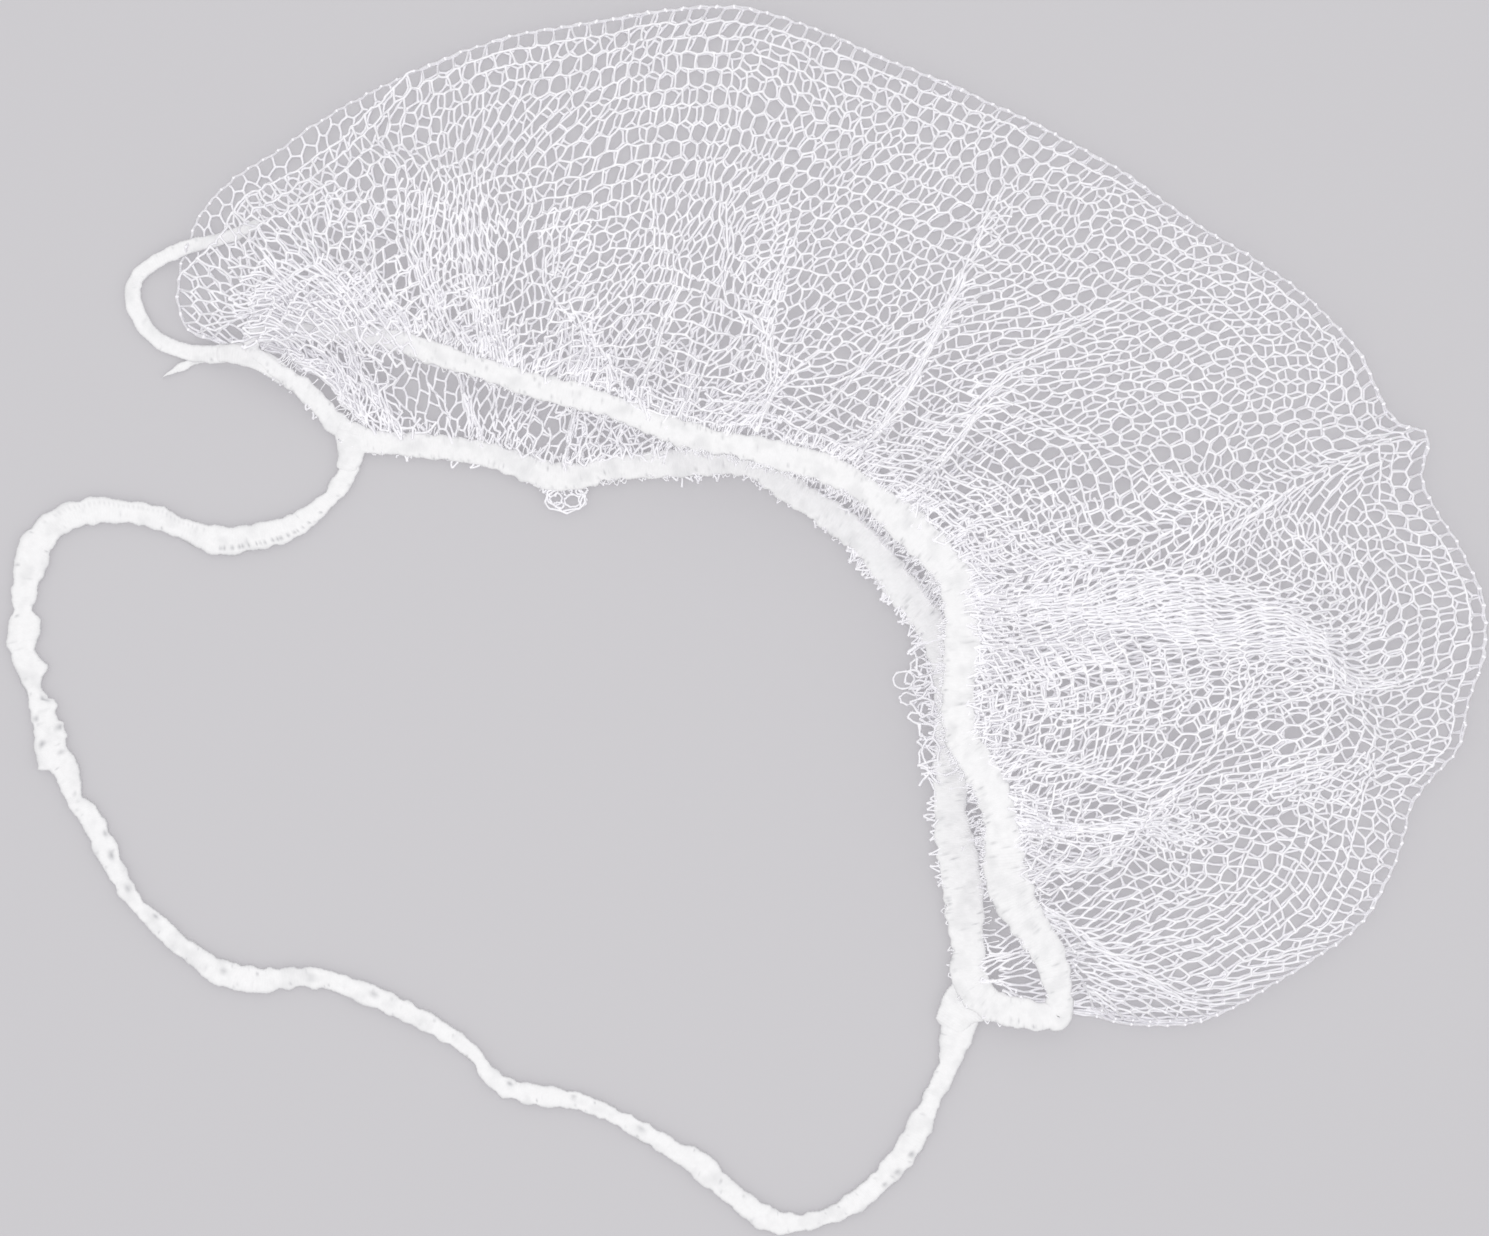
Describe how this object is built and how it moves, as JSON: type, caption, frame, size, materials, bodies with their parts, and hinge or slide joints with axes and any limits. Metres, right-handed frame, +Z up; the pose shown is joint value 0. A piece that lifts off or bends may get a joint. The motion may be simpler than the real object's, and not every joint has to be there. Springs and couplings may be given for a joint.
{
  "type": "beard net",
  "caption": "Gathered net pouch with an elastic round its mouth, a long head elastic and a small spare loop at one corner, lying flat and unworn.",
  "frame": {"origin": "on the table, under the middle of the lying pouch and its mouth elastic", "axes": "+X from the mouth's left corner to its right corner, +Y from the mouth out to the net's fold, +Z up from the table"},
  "size_m": [0.2742, 0.2474, 0.0172],
  "materials": {
    "white_net": "fine knitted synthetic net, slightly glossy thread",
    "white_elastic": "matt knitted elastic"
  },
  "bodies": {
    "root": {"net_pouch": "white_net", "mouth_elastic": "white_elastic", "head_elastic": "white_elastic", "corner_loop": "white_elastic"}
  },
  "joints": []
}
